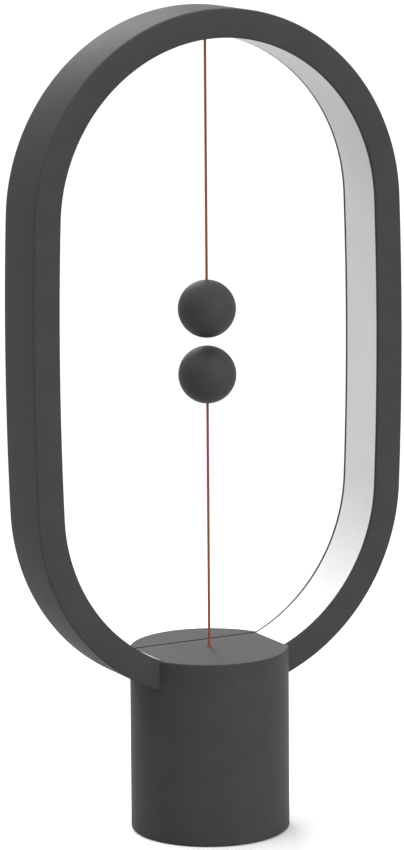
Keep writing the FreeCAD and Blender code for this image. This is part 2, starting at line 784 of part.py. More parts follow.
def string_anchor():
    """Bar across the crown of the ring, on its two rails, that the upper string's knot sits on."""
    bar = box(-anchor_bar_length / 2, anchor_bar_length / 2, front_y + ring_wall + seat_clearance,
              parting_y - seat_clearance, anchor_z, anchor_top)
    return bar.cut(post(string_radius + seat_clearance, anchor_z, anchor_top))


def anchor_knot():
    return post(knot_radius, anchor_top + seat_clearance, anchor_top + seat_clearance + knot_height)


def upper_string_stub():
    """The stretch of the upper string that is held still, from its knot to where it bends."""
    return post(string_radius, upper_pivot_z + string_radius + seat_clearance, anchor_top + seat_clearance)


# ---------------------------------------------------------------- hanging strings and balls
def string_bend(pivot_z):
    """The short length of string that flexes, as a bead of the string's own thickness."""
    return Part.makeSphere(string_radius, V(0, 0, pivot_z))


def stopper_face_z(ball_z, up):
    """Height of the face of the knot inside a ball that its string pulls against; up is +1 or -1."""
    return ball_z + up * (ball_radius - string_boss_depth - running_clearance)


def ball_string(pivot_z, ball_z, up):
    """The free string, from where it bends to the knot inside its ball."""
    return post(string_radius, pivot_z - up * (string_radius + seat_clearance), stopper_face_z(ball_z, up))


def string_stopper(ball_z, up):
    face = stopper_face_z(ball_z, up)
    return post(knot_radius, face, face - up * knot_height)


def placed_ball(shape, ball_z, up):
    """Ball pieces are drawn round the origin with the string on top, and turned over for the lower ball."""
    if up < 0:
        shape.rotate(ORIGIN, X_AXIS, 180)
    shape.translate(V(0, 0, ball_z))
    return shape


def ball_half(low, high):
    """The hollow ball between two heights."""
    shell = Part.makeSphere(ball_radius).cut(Part.makeSphere(ball_radius - ball_wall))
    return shell.common(centred_box(ball_diameter, ball_diameter, low, high))


def ball_cap(ball_z, up):
    """The half of the ball that the string goes into."""
    lap_outside = ball_radius - ball_wall + ball_lap_thickness
    lap_room = post(lap_outside + seat_clearance, 0, ball_lap_height + seat_clearance)
    shell = ball_half(0, ball_radius).cut(lap_room)
    boss = post(string_boss_radius, ball_radius - string_boss_depth, ball_radius)
    boss = boss.common(Part.makeSphere(ball_radius - ball_wall / 2))
    hole = post(string_radius + ball_hole_clearance, 0, ball_diameter)
    return placed_ball(fuse(shell, boss).cut(hole), ball_z, up)


def ball_cup(ball_z, up):
    """The half of the ball that holds the magnet, with a rim that fits inside the other half."""
    rim = tube(ball_radius - ball_wall + ball_lap_thickness, ball_radius - ball_wall,
               -ball_lap_height, ball_lap_height)
    seat = post(magnet_radius + magnet_rim, -ball_radius, magnet_high + retainer_thickness)
    seat = seat.common(Part.makeSphere(ball_radius - magnet_face_wall / 2))
    pocket = post(magnet_radius + seat_clearance, magnet_low, magnet_high + retainer_thickness)
    return placed_ball(fuse(ball_half(-ball_radius, 0), rim, seat).cut(pocket), ball_z, up)


def ball_magnet(ball_z, up):
    return placed_ball(post(magnet_radius, magnet_low, magnet_high), ball_z, up)


def magnet_retainer(ball_z, up):
    return placed_ball(post(magnet_radius, magnet_high, magnet_high + retainer_thickness), ball_z, up)


# ---------------------------------------------------------------- the whole lamp
def lamp():
    nodes = {
        "ring_frame": ring_frame(),
        "ring_rear_cover": ring_rear_cover(),
        "diffuser": diffuser(),
        "light_strip": light_strip(),
        "light_chips": light_chips(),
        "ring_screws": ring_screws(),
        "ring_cover_screws": ring_cover_screws(),
        "string_anchor": string_anchor(),
        "anchor_knot": anchor_knot(),
        "upper_string_stub": upper_string_stub(),
        "base_shell": base_shell(),
        "base_rear_cover": base_rear_cover(),
        "base_bush": base_bush(),
        "bottom_plate": bottom_plate(),
        "plate_screws": plate_screws(),
        "foot_ring": foot_ring(),
        "ballast": ballast(),
        "ballast_washer": ballast_washer(),
        "ballast_screw": screw(0, 0, washer_top),
        "main_board": main_board(),
        "board_screws": board_screws(),
        "board_parts": board_parts(),
        "socket_shell": socket_shell(),
        "socket_insert": socket_insert(),
        "lead_header": lead_header(),
        "lead_positive": lead(lead_spacing / 2),
        "lead_negative": lead(-lead_spacing / 2),
        "slider_guide": slider_guide(),
        "guide_screws": guide_screws(),
        "guide_cap": guide_cap(),
        "switch_slider": switch_slider(),
        "return_spring": return_spring(),
        "slider_knot": slider_knot(),
        "lower_string_run": lower_string_run(),
        "switch_case": switch_case(),
        "switch_pin": switch_pin(),
        "switch_lever": switch_lever(),
        "switch_plunger": switch_plunger(),
    }
    for name, ball_z, pivot_z, up in (("upper", upper_ball_z, upper_pivot_z, 1),
                                      ("lower", lower_ball_z, lower_pivot_z, -1)):
        nodes[name + "_string_bend"] = string_bend(pivot_z)
        nodes[name + "_string"] = ball_string(pivot_z, ball_z, up)
        nodes[name + "_string_stopper"] = string_stopper(ball_z, up)
        nodes[name + "_ball_cap"] = ball_cap(ball_z, up)
        nodes[name + "_ball_cup"] = ball_cup(ball_z, up)
        nodes[name + "_magnet"] = ball_magnet(ball_z, up)
        nodes[name + "_magnet_retainer"] = magnet_retainer(ball_z, up)
    return nodes


def main():
    os.makedirs("parts", exist_ok=True)
    for name, shape in lamp().items():
        if not shape.isValid():
            raise ValueError(name + " is not a valid shape")
        print(f"{name}: {len(shape.Solids)} solids, {sum(s.Volume for s in shape.Solids):.1f} mm3")
        shape.exportStep(os.path.join("parts", name + ".step"))
    print(f"lever hinge x {hinge_x:.2f} z {hinge_z:.2f}, spring's fixed end z {stop_z:.2f}")
    print(f"string pivots z {upper_pivot_z:.2f} and {lower_pivot_z:.2f}, socket z {socket_z:.2f}")


main()
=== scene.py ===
# %% [markdown]
# # A magnetic balance lamp
#
# The lamp is an oval light ring on a round base.  Two balls stand face to face in the ring with
# air between them: each is held back by a red string, and the magnets in them pull at each other.
# The solids come from the CAD model, which stays where it is.  This lesson dresses them: it sweeps
# the ring's two mouldings along the oval, braids the strings, sets the screws and the light chips,
# gives every surface its finish, and lights the lamp in a plain studio.
#
# Everything is in metres, +Z is up, the front faces -Y, and the origin is on the table under the
# base.  Sizes are written in millimetres and multiplied by mm.

# %% Load the fixed frame
import bpy
import bmesh
import json
import math
from mathutils import Matrix, Vector


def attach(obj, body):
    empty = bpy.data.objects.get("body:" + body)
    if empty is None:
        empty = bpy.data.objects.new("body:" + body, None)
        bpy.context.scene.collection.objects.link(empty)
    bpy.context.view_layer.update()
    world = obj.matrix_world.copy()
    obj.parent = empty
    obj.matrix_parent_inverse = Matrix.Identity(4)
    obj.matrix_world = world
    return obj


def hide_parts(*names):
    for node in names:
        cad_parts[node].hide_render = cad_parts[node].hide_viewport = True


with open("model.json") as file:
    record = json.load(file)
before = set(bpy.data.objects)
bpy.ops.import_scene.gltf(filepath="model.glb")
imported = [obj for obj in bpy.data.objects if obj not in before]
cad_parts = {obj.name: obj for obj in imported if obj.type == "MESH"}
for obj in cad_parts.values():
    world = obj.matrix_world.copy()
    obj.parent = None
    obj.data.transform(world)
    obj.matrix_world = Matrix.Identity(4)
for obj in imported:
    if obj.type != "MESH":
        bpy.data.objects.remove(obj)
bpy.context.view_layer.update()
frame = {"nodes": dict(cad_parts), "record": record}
cad = frame["nodes"]
scene = bpy.context.scene
mm = 0.001

# %% [markdown]
# ## The camera
#
# A camera is a place, a direction and a focal length.  It stands about two metres off, to the left
# of the front and a little above the ring, and it looks slightly down.  A long lens keeps the two
# sides of the ring nearly parallel.  The direction is written as a turn to the right, a dip and a
# small tilt, and the three axes of the camera follow from those.  A tracking constraint would be
# shorter, but it can't hold the small tilt.

# %% Make the camera
camera_place = Vector((-908.0, -1694.0, 554.9)) * mm
camera_turn, camera_dip, camera_tilt = 0.49062, 0.18299, -0.0075
camera_lens = 172.3

ahead = Vector((math.sin(camera_turn) * math.cos(camera_dip),
                math.cos(camera_turn) * math.cos(camera_dip), -math.sin(camera_dip)))
level = Vector((math.cos(camera_turn), -math.sin(camera_turn), 0.0))
upward = level.cross(ahead)
right = level * math.cos(camera_tilt) + upward * math.sin(camera_tilt)
up = upward * math.cos(camera_tilt) - level * math.sin(camera_tilt)

camera_data = bpy.data.cameras.new("camera")
camera_data.sensor_width = 36.0
camera_data.lens = camera_lens
camera_data.clip_start, camera_data.clip_end = 0.05, 100.0
camera = bpy.data.objects.new("camera", camera_data)
camera.matrix_world = Matrix((
    (right.x, up.x, -ahead.x, camera_place.x),
    (right.y, up.y, -ahead.y, camera_place.y),
    (right.z, up.z, -ahead.z, camera_place.z),
    (0, 0, 0, 1)))
scene.collection.objects.link(camera)
scene.camera = camera
print("camera stands", round(camera_place.length, 2), "m from the lamp, lens", camera_lens, "mm")

# %% [markdown]
# ## Tools for node trees
#
# Finishes and shapes both come from node trees here.  A tree can be built with many lines of
# nodes.new and links.new, or with a few helpers that read like sentences.  The helpers below add a
# node and fill its sockets in one call.  A value may be a number or another node's socket, which
# is linked.

# %% Helpers for node trees
def socket(sockets, label):
    """The socket in use with that name, as a node may keep one of each type under the same name."""
    return next(s for s in sockets if s.name == label and s.enabled)


def feed(tree, value, target):
    """Links a socket to the target, or writes a plain value on it."""
    if isinstance(value, bpy.types.NodeSocket):
        tree.links.new(value, target)
    else:
        target.default_value = value


def add(tree, kind, **settings):
    """A new node.  Settings are its properties, or its sockets by name with _ for a space."""
    node = tree.nodes.new(kind)
    properties = {name for name in settings if hasattr(node, name)}
    for name in properties:
        setattr(node, name, settings[name])
    for name in settings.keys() - properties:
        feed(tree, settings[name], socket(node.inputs, name.replace("_", " ")))
    return node


def calc(tree, operation, *values):
    """A Math node on these values; gives back its result."""
    node = tree.nodes.new("ShaderNodeMath")
    node.operation = operation
    for value, target in zip(values, node.inputs):
        feed(tree, value, target)
    return node.outputs[0]


def vector_calc(tree, operation, *values):
    """The same with a Vector Math node.  SCALE takes a vector and a number."""
    node = tree.nodes.new("ShaderNodeVectorMath")
    node.operation = operation
    targets = [node.inputs[0], node.inputs["Scale"]] if operation == "SCALE" else node.inputs
    for value, target in zip(values, targets):
        feed(tree, value, target)
    return node.outputs[0]


def new_tree(kind, name, inputs, outputs):
    """An empty group with named sockets: inputs are (name, type, value), outputs (name, type)."""
    tree = bpy.data.node_groups.new(name, kind)
    for label, socket_type, value in inputs:
        made = tree.interface.new_socket(label, in_out="INPUT",
                                         socket_type="NodeSocket" + socket_type)
        if value is not None:
            made.default_value = value
    for label, socket_type in outputs:
        tree.interface.new_socket(label, in_out="OUTPUT", socket_type="NodeSocket" + socket_type)
    return tree, tree.nodes.new("NodeGroupInput").outputs, tree.nodes.new("NodeGroupOutput").inputs


print("helpers for trees: socket, feed, add, calc, vector_calc, new_tree")

# %% [markdown]
# ## Studio and light
#
# The lamp stands on a pale floor under a pale sky.  The sky gives soft light from all round.
# Three suns shape the lamp: a wide key from the front, to the right of the camera, a wide one from
# above that makes the tops lighter, and a weaker, narrower one low at the back, which lights the
# crown more than the base.  Suns are used rather than area lamps, because their light doesn't fade
# with distance, so the floor is evenly lit as far as the camera can see.  Rays that the camera, a
# gloss or a clear plastic sends out see the backdrop as plain white.

# %% Make the world and the lamps
scene.view_settings.view_transform = "Standard"
sky_level = 0.45
world = bpy.data.worlds.new("studio")
world.use_nodes = True
scene.world = world
sky = world.node_tree
sky.nodes.clear()
rays = add(sky, "ShaderNodeLightPath").outputs
seen = calc(sky, "MAXIMUM", rays["Is Camera Ray"],
            calc(sky, "MAXIMUM", rays["Is Glossy Ray"], rays["Is Transmission Ray"]))
soft = add(sky, "ShaderNodeBackground", Color=(1, 1, 1, 1), Strength=sky_level)
white = add(sky, "ShaderNodeBackground", Color=(1, 1, 1, 1), Strength=1.0)
mixed = add(sky, "ShaderNodeMixShader", Fac=seen)
sky.links.new(soft.outputs[0], mixed.inputs[1])
sky.links.new(white.outputs[0], mixed.inputs[2])
add(sky, "ShaderNodeOutputWorld", Surface=mixed.outputs[0])


def sun(name, strength, spread, towards):
    """A wide, soft lamp that shines along a direction."""
    data = bpy.data.lights.new(name, "SUN")
    data.energy = strength
    data.angle = math.radians(spread)
    lamp = bpy.data.objects.new(name, data)
    lamp.rotation_euler = Vector(towards).to_track_quat("-Z", "Y").to_euler()
    scene.collection.objects.link(lamp)


sun("key", 2.2, 50, (-0.30, 0.94, -0.47))
sun("overhead", 2.5, 60, (0.25, -0.25, -0.94))
sun("low_back", 1.3, 22, (-0.16, -0.85, -0.45))

# %% [markdown]
# ## The floor
#
# The floor is one large flat face.  The camera and glossy plastic see it nearly white, and it
# keeps the lamp's shadow.  The light that it throws back at the lamp is that of a duller floor, so
# the undersides stay dark.  One Light Path node tells the two apart.  Near the lamp the floor is
# seen brighter, which paints light into the lamp's shadow there and makes it paler.  Away from the
# lamp the floor is seen duller, just bright enough to be white: a brighter one would eat into thin
# dark things in front of it.  A gradient that falls from one at the lamp to nothing a metre away
# tells where that is.

# %% Make the floor
floor_half = 30.0
# the brighter value near the lamp is painted light that makes the lamp's shadow paler
seen_near_shadow_lift, seen_far, floor_thrown = 0.96, 0.65, 0.34
near_within, far_beyond = 0.35, 0.8
corners = [(-floor_half, -floor_half, 0), (floor_half, -floor_half, 0),
           (floor_half, floor_half, 0), (-floor_half, floor_half, 0)]
floor_mesh = bpy.data.meshes.new("floor")
floor_mesh.from_pydata(corners, [], [(0, 1, 2, 3)])
floor = bpy.data.objects.new("floor", floor_mesh)
scene.collection.objects.link(floor)


def new_material(name, **shader):
    """A material, its tree and its Principled shader, with plain values on the shader's sockets."""
    material = bpy.data.materials.new(name)
    material.use_nodes = True
    surface = material.node_tree.nodes["Principled BSDF"]
    for label, value in shader.items():
        surface.inputs[label.replace("_", " ")].default_value = value
    return material, material.node_tree, surface.inputs


floor_finish, tree, surface = new_material("pale_floor", Roughness=0.9, Specular_IOR_Level=0.0)
rays = add(tree, "ShaderNodeLightPath").outputs
looked_at = calc(tree, "MAXIMUM", rays["Is Camera Ray"], rays["Is Glossy Ray"])
nearness = add(tree, "ShaderNodeTexGradient", gradient_type="SPHERICAL",
               Vector=add(tree, "ShaderNodeTexCoord").outputs["Object"]).outputs["Fac"]
seen_here = add(tree, "ShaderNodeMapRange", Value=nearness, From_Min=1 - far_beyond,
                From_Max=1 - near_within, To_Min=seen_far, To_Max=seen_near_shadow_lift).outputs["Result"]
shown = add(tree, "ShaderNodeMapRange", Value=looked_at, To_Min=floor_thrown, To_Max=seen_here)
feed(tree, shown.outputs["Result"], surface["Base Color"])
floor_mesh.materials.append(floor_finish)
print("floor:", 2 * floor_half, "m wide, seen as", seen_near_shadow_lift, "to", seen_far,
      "and thrown back as", floor_thrown)

# %% [markdown]
# ## Moulded grain
#
# The skin of a spark-eroded mould leaves fine pits in the plastic.  They could be modelled as
# dents, but they are about a millimetre wide and much shallower, so a bump is enough.  One noise
# makes the pits, and together with a larger one it makes the plastic slightly uneven in tone.  The
# group reads Object coordinates, so that the grain has its real size on every piece.  Plastic,
# rubber and the frosted band all use it.

# %% Build the grain group
def finish_tree(name, *inputs):
    """An empty finish group with these inputs, whose results feed a shader."""
    return new_tree("ShaderNodeTree", name, inputs,
                    [("Colour", "Color"), ("Roughness", "Float"), ("Height", "Float")])


cloud_scale, roughness_swing = 55.0, 0.12
grain, given, result = finish_tree(
    "moulded_grain", ("Colour", "Color", (0.8, 0.8, 0.8, 1)), ("Grain Size", "Float", 0.5 * mm),
    ("Speckle", "Float", 0.2), ("Roughness", "Float", 0.5), ("Depth", "Float", 0.02 * mm))
place = add(grain, "ShaderNodeTexCoord").outputs["Object"]
pits = add(grain, "ShaderNodeTexNoise", Vector=place, Detail=3.0, Roughness=0.6,
           Scale=calc(grain, "DIVIDE", 1.0, given["Grain Size"])).outputs["Fac"]
cloud = add(grain, "ShaderNodeTexNoise", Vector=place, Scale=cloud_scale, Detail=4.0,
            Roughness=0.55).outputs["Fac"]
uneven = calc(grain, "SUBTRACT", calc(grain, "ADD", pits, cloud), 1.0)
tone = calc(grain, "MULTIPLY_ADD", uneven, given["Speckle"], 1.0)
feed(grain, vector_calc(grain, "SCALE", given["Colour"], tone), result["Colour"])
feed(grain, calc(grain, "MULTIPLY_ADD", uneven, roughness_swing, given["Roughness"]),
     result["Roughness"])
feed(grain, calc(grain, "MULTIPLY", pits, given["Depth"]), result["Height"])
print("grain group:", len(grain.nodes), "nodes")

# %% [markdown]
# ## Drawn and rolled metal
#
# Wire, sheet and turned screws show fine lines along the way they were worked.  The group
# stretches a noise along one axis for the lines and lays a cloud of thin oxide over it, which
# dulls the metal in patches.  A brushed look could also come from the shader's anisotropy.

# %% Build the metal group
line_tone, line_roughness = 0.2, 0.15
patch_scale, patch_from, patch_to = 180.0, 0.45, 0.75
drawn, given, result = finish_tree(
    "drawn_metal", ("Colour", "Color", (0.6, 0.6, 0.6, 1)),
    ("Line Scale", "Vector", (1500, 1500, 60)), ("Roughness", "Float", 0.3),
    ("Oxide", "Float", 0.15), ("Depth", "Float", 0.002 * mm))
place = add(drawn, "ShaderNodeTexCoord").outputs["Object"]
lines = add(drawn, "ShaderNodeTexNoise", Scale=1.0, Detail=2.0,
            Vector=vector_calc(drawn, "MULTIPLY", place, given["Line Scale"])).outputs["Fac"]
patches = add(drawn, "ShaderNodeTexNoise", Vector=place, Scale=patch_scale, Detail=5.0,
              Roughness=0.65).outputs["Fac"]
oxide = add(drawn, "ShaderNodeMapRange", Value=patches, From_Min=patch_from,
            From_Max=patch_to).outputs["Result"]
dull = calc(drawn, "MULTIPLY", oxide, given["Oxide"])
bright = calc(drawn, "MULTIPLY_ADD", lines, line_tone, 1.0 - line_tone / 2)
shine = calc(drawn, "SUBTRACT", bright, dull)
feed(drawn, vector_calc(drawn, "SCALE", given["Colour"], shine), result["Colour"])
lined = calc(drawn, "MULTIPLY_ADD", lines, line_roughness, given["Roughness"])
feed(drawn, calc(drawn, "ADD", lined, dull), result["Roughness"])
feed(drawn, calc(drawn, "MULTIPLY", lines, given["Depth"]), result["Height"])
print("metal group:", len(drawn.nodes), "nodes")

# %% [markdown]
# ## Plastics, rubber and metals
#
# Each finish places one of the two groups with its own values.  The charcoal of the base, the ring
# and the balls is matt, so it gets a rough surface with little gloss.  The frosted band is pale
# and nearly even.  Foot rubber is rougher, with a grain of about the same size, and the hard
# plastics inside are smoother.

# %% Make the finishes
def finish(name, group, values, **shader):
    """A material whose colour, roughness and relief come from a group with these values."""
    material, tree, surface = new_material(name, **shader)
    skin = add(tree, "ShaderNodeGroup", node_tree=group)
    for label, value in values.items():
        skin.inputs[label].default_value = value
    relief = add(tree, "ShaderNodeBump", Height=skin.outputs["Height"], Distance=1.0)
    feed(tree, skin.outputs["Colour"], surface["Base Color"])
    feed(tree, skin.outputs["Roughness"], surface["Roughness"])
    feed(tree, relief.outputs["Normal"], surface["Normal"])
    return material


def plastic(name, colour, roughness, grain_size=0.5 * mm, speckle=0.2, depth=0.012 * mm, **shader):
    """Moulded plastic, rubber or yarn.  The colour is linear red, green and blue."""
    return finish(name, grain, {
        "Colour": (*colour, 1), "Roughness": roughness, "Grain Size": grain_size,
        "Speckle": speckle, "Depth": depth}, **shader)


def metal(name, colour, roughness, line_scale, oxide=0.15, depth=0.002 * mm):
    """Worked metal, with its lines along the axis that has the smallest line scale."""
    return finish(name, drawn, {
        "Colour": (*colour, 1), "Roughness": roughness, "Line Scale": line_scale,
        "Oxide": oxide, "Depth": depth}, Metallic=1.0)


charcoal = plastic("charcoal_plastic", (0.045, 0.0443, 0.0415), 0.6, grain_size=1.1 * mm,
                   speckle=0.4, depth=0.07 * mm, Specular_IOR_Level=0.12)
frosted = plastic("frosted_band", (0.82, 0.82, 0.825), 0.55, grain_size=0.8 * mm, speckle=0.09,
                  depth=0.008 * mm)
black = plastic("black_plastic", (0.02, 0.02, 0.021), 0.45)
white_plastic = plastic("white_plastic", (0.75, 0.75, 0.72), 0.42)
red_plastic = plastic("red_plastic", (0.45, 0.04, 0.03), 0.4)
rubber = plastic("foot_rubber", (0.025, 0.025, 0.025), 0.85, grain_size=0.9 * mm, speckle=0.4,
                 depth=0.06 * mm, Specular_IOR_Level=0.3)
steel = metal("steel", (0.56, 0.56, 0.57), 0.28, (1800, 1800, 90))
iron = metal("ballast_iron", (0.30, 0.30, 0.32), 0.42, (120, 1400, 1400), oxide=0.35,
             depth=0.004 * mm)
nickel = metal("nickel", (0.66, 0.63, 0.57), 0.2, (900, 150, 900), oxide=0.08)
print("finishes made:", [m.name for m in bpy.data.materials])

# %% [markdown]
# ## The circuit board
#
# A board is green lacquer over copper tracks, with tinned pads where parts are soldered.  The
# tracks could be curves laid on the board, but under lacquer they show only as a lighter green and
# a slight step.  Two sets of crossed stripes, each let through in its own patches, stand for the
# tracks, and each cell of a Voronoi texture puts a round pad in its middle.

# %% Make the board's finish
board_green, tree, surface = new_material("circuit_board", Specular_IOR_Level=0.6)
place = add(tree, "ShaderNodeTexCoord").outputs["Object"]
track_spacing, pad_spacing, copper_step = 1.6 * mm, 4.2 * mm, 0.03 * mm
stripe_above, patch_above, pad_within = 0.62, 0.52, 0.14
track_patch_scale, pad_randomness = 120.0, 0.35
lacquer_green, track_green = (0.012, 0.085, 0.035, 1), (0.025, 0.16, 0.06, 1)
tin_white, lacquer_roughness, tin_roughness = (0.6, 0.6, 0.58, 1), 0.25, 0.4
wave_factor = 20    # a Wave node counts this many radians per metre at a scale of 1
tracks = None
for seed, turn in enumerate((0.0, math.pi / 2)):
    turned = add(tree, "ShaderNodeMapping", Vector=place, Rotation=(0, 0, turn)).outputs["Vector"]
    stripe = add(tree, "ShaderNodeTexWave", wave_type="BANDS", bands_direction="X", Vector=turned,
                 Scale=2 * math.pi / (wave_factor * track_spacing), Distortion=0.0).outputs["Fac"]
    patch = add(tree, "ShaderNodeTexNoise", Vector=vector_calc(tree, "ADD", turned, (seed, 0, 0)),
                Scale=track_patch_scale, Detail=0.0).outputs["Fac"]
    part = calc(tree, "MULTIPLY", calc(tree, "GREATER_THAN", stripe, stripe_above),
                calc(tree, "GREATER_THAN", patch, patch_above))
    tracks = part if tracks is None else calc(tree, "MAXIMUM", tracks, part)
cells = add(tree, "ShaderNodeTexVoronoi", Vector=place, Scale=1 / pad_spacing,
            Randomness=pad_randomness)
pads = calc(tree, "LESS_THAN", cells.outputs["Distance"], pad_within)
lacquer = add(tree, "ShaderNodeMix", data_type="RGBA", Factor=tracks, A=lacquer_green,
              B=track_green).outputs[2]
colour = add(tree, "ShaderNodeMix", data_type="RGBA", Factor=pads, A=lacquer,
             B=tin_white).outputs[2]
feed(tree, colour, surface["Base Color"])
feed(tree, pads, surface["Metallic"])
feed(tree, calc(tree, "MULTIPLY_ADD", pads, tin_roughness - lacquer_roughness, lacquer_roughness),
     surface["Roughness"])
step = calc(tree, "MULTIPLY", calc(tree, "MAXIMUM", tracks, pads), copper_step)
relief = add(tree, "ShaderNodeBump", Height=step, Distance=1.0)
feed(tree, relief.outputs["Normal"], surface["Normal"])
print("board finish:", len(tree.nodes), "nodes")

# %% [markdown]
# ## String yarn and light chips
#
# The string is matt red yarn, with soft fibre ends that catch the light, so its shader gets some
# sheen.  A light chip is a white case with a window of yellow phosphor, which is a finish of its
# own.

# %% Make the yarn and the phosphor
yarn = plastic("red_string", (0.26, 0.06, 0.038), 0.8, grain_size=0.12 * mm, speckle=0.5,
               depth=0.03 * mm, Sheen_Weight=0.15, Specular_IOR_Level=0.3)
chip_case = plastic("light_chip", (0.82, 0.81, 0.76), 0.4, grain_size=0.3 * mm, speckle=0.08)
phosphor = plastic("chip_phosphor", (0.85, 0.62, 0.12), 0.5, grain_size=0.15 * mm, speckle=0.3)
finish_of_slot = {
    "charcoal_plastic": charcoal, "frosted_diffuser": frosted, "black_plastic": black,
    "white_plastic": white_plastic, "red_plastic": red_plastic, "foot_rubber": rubber,
    "steel": steel, "ballast_iron": iron, "nickel": nickel, "circuit_board": board_green,
    "light_chip": chip_case, "red_string": yarn,
}
print("finishes for", len(finish_of_slot), "slots")

# %% [markdown]
# ## Finishes on the CAD solids
#
# The record says which finish each solid takes.  A solid keeps its mesh, and only its material
# changes.  The solids could be dressed one by one, but a loop over the record can't miss any.

# %% Give each solid its finish
def dress(piece, material):
    """Gives a solid this material alone."""
    piece.data.materials.clear()
    piece.data.materials.append(material)


slot_of_node = {s["node"]: s["material_slot"] for s in frame["record"]["subparts"]}
for name, piece in cad.items():
    dress(piece, finish_of_slot[slot_of_node[name]])
print("finishes given to", len(cad), "solids")

# %% [markdown]
# ## The seam of the base
#
# The base is parted in two, nearly in line with the joint of the ring's cover, and the lips of
# the seam are slightly rounded.  The solids keep their meshes, so the finish rounds the lips:
# a bump that falls away towards the gap turns the light as a rounded lip does, and the colour is
# painted darker there, which is painted shade in the seam.  Both are rules of the distance from
# the seam, which is a flat plane across the lamp.

# %% Round the lips of the seam and paint shade in it
seam_middle, seam_gap = 14.2, 0.8
lip_width, lip_drop, lip_painted_shade, lip_fall = 1.0, 0.6, 0.65, 2.0

seamed = charcoal.copy()
seamed.name = "charcoal_plastic_seam"
tree = seamed.node_tree
skin = next(node for node in tree.nodes if node.type == "GROUP")
relief = next(node for node in tree.nodes if node.type == "BUMP")
depth_y = add(tree, "ShaderNodeSeparateXYZ",
              Vector=add(tree, "ShaderNodeTexCoord").outputs["Object"]).outputs["Y"]
off = calc(tree, "ABSOLUTE", calc(tree, "SUBTRACT", depth_y, seam_middle * mm))
lip = add(tree, "ShaderNodeMapRange", Value=off, From_Min=seam_gap / 2 * mm,
          From_Max=(seam_gap / 2 + lip_width) * mm, To_Min=1.0, To_Max=0.0).outputs["Result"]
lip_round = add(tree, "ShaderNodeBump", Distance=1.0,
                Height=calc(tree, "MULTIPLY", calc(tree, "POWER", lip, lip_fall), -lip_drop * mm))
feed(tree, lip_round.outputs["Normal"], relief.inputs["Normal"])
plain_colour = tuple(skin.inputs["Colour"].default_value[:3])
# painted shade: the charcoal is darkened towards the gap, where the seam's shade falls
shade = calc(tree, "MULTIPLY_ADD", lip, -lip_painted_shade, 1.0)
feed(tree, vector_calc(tree, "SCALE", plain_colour, shade), skin.inputs["Colour"])
for name in ("base_shell", "base_rear_cover"):
    dress(cad[name], seamed)
print("seam:", seam_gap, "mm wide, with lips of", lip_width, "mm")

# %% [markdown]
# ## Running a shape tree
#
# Geometry Nodes grow a shape from a source, such as a path or a few points.  The tree hangs on the
# source as a modifier.  Its sizes are written on the modifier first, then the result is taken as a
# plain mesh, and the source goes.  Every tree ends in real meshes, each in its material.  What is
# left is an ordinary piece at the origin that rides on its body.

# %% Helpers for shape trees
def shape_tree(name, *inputs):
    """An empty shape tree with these inputs and one geometry as its result."""
    return new_tree("GeometryNodeTree", name, inputs, [("Geometry", "Geometry")])


def end_tree(tree, geometry, material, result):
    """Ends a shape tree: real meshes instead of copies by reference, in their material."""
    whole = add(tree, "GeometryNodeRealizeInstances", Geometry=geometry).outputs[0]
    dressed = add(tree, "GeometryNodeSetMaterial", Geometry=whole, Material=material)
    feed(tree, dressed.outputs[0], result["Geometry"])
    print("tree", tree.name + ":", len(tree.nodes), "nodes")


def line_object(name, points, cyclic=False, radii=None):
    """A curve of straight steps through points in millimetres, each with its own radius."""
    curve = bpy.data.curves.new(name, "CURVE")
    curve.dimensions = "3D"
    spline = curve.splines.new("POLY")
    spline.points.add(len(points) - 1)
    spline.use_cyclic_u = cyclic
    for number, (point, at) in enumerate(zip(spline.points, points)):
        point.co = (*(v * mm for v in at), 1.0)
        point.radius = 1.0 if radii is None else radii[number]
    made = bpy.data.objects.new(name, curve)
    scene.collection.objects.link(made)
    return made


def points_object(name, points):
    """A mesh of loose points, in millimetres."""
    mesh = bpy.data.meshes.new(name)
    mesh.from_pydata([[v * mm for v in at] for at in points], [], [])
    made = bpy.data.objects.new(name, mesh)
    scene.collection.objects.link(made)
    return made


def grow(name, source, tree, **values):
    """Runs the tree on the source with these values, and gives back the result as a plain mesh."""
    modifier = source.modifiers.new(name, "NODES")
    modifier.node_group = tree
    for item in tree.interface.items_tree:
        if item.in_out == "INPUT" and item.name.replace(" ", "_") in values:
            modifier[item.identifier] = values[item.name.replace(" ", "_")]
    depsgraph = bpy.context.evaluated_depsgraph_get()
    mesh = bpy.data.meshes.new_from_object(source.evaluated_get(depsgraph), depsgraph=depsgraph)
    mesh.name = name
    source.modifiers.remove(modifier)
    bpy.data.objects.remove(source)
    return mesh


def settle(name, mesh, body, slot_name, *replaced, sharp_from=35):
    """Makes a mesh a piece of the lamp: shaded, riding on a body, in place of its solids."""
    mesh.shade_smooth()
    mesh.set_sharp_from_angle(angle=math.radians(sharp_from))
    piece = bpy.data.objects.new(name, mesh)
    scene.collection.objects.link(piece)
    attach(piece, body)
    if replaced:
        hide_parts(*replaced)
    box = [[round(f(v.co[i] for v in mesh.vertices) / mm, 2) for i in range(3)] for f in (min, max)]
    print(name + ":", len(mesh.polygons), "faces, box in mm", box)
    return piece


print("helpers for shapes: shape_tree, end_tree, line_object, points_object, grow, settle")

# %% [markdown]
# ## The path of the ring
#
# The ring follows an oval: two end arcs, joined by two side arcs so shallow that they look
# straight.  A circle squeezed in one direction would be quicker, but its sides would bulge too
# much.  The path runs along the ring's outer edge, from its cut end on the right of the base, over
# the crown, to the left.

# %% Draw the oval
overall_height, ring_bottom = 400.0, 69.0
ring_width, ring_side_bow = 199.2, 1.3
ring_thickness, ring_depth, ring_wall = 13.9, 31.2, 1.4
cover_thickness = 1.8
front_round, rear_round = 1.0, 0.3
ring_end_x = 18.0
path_step = 2.4

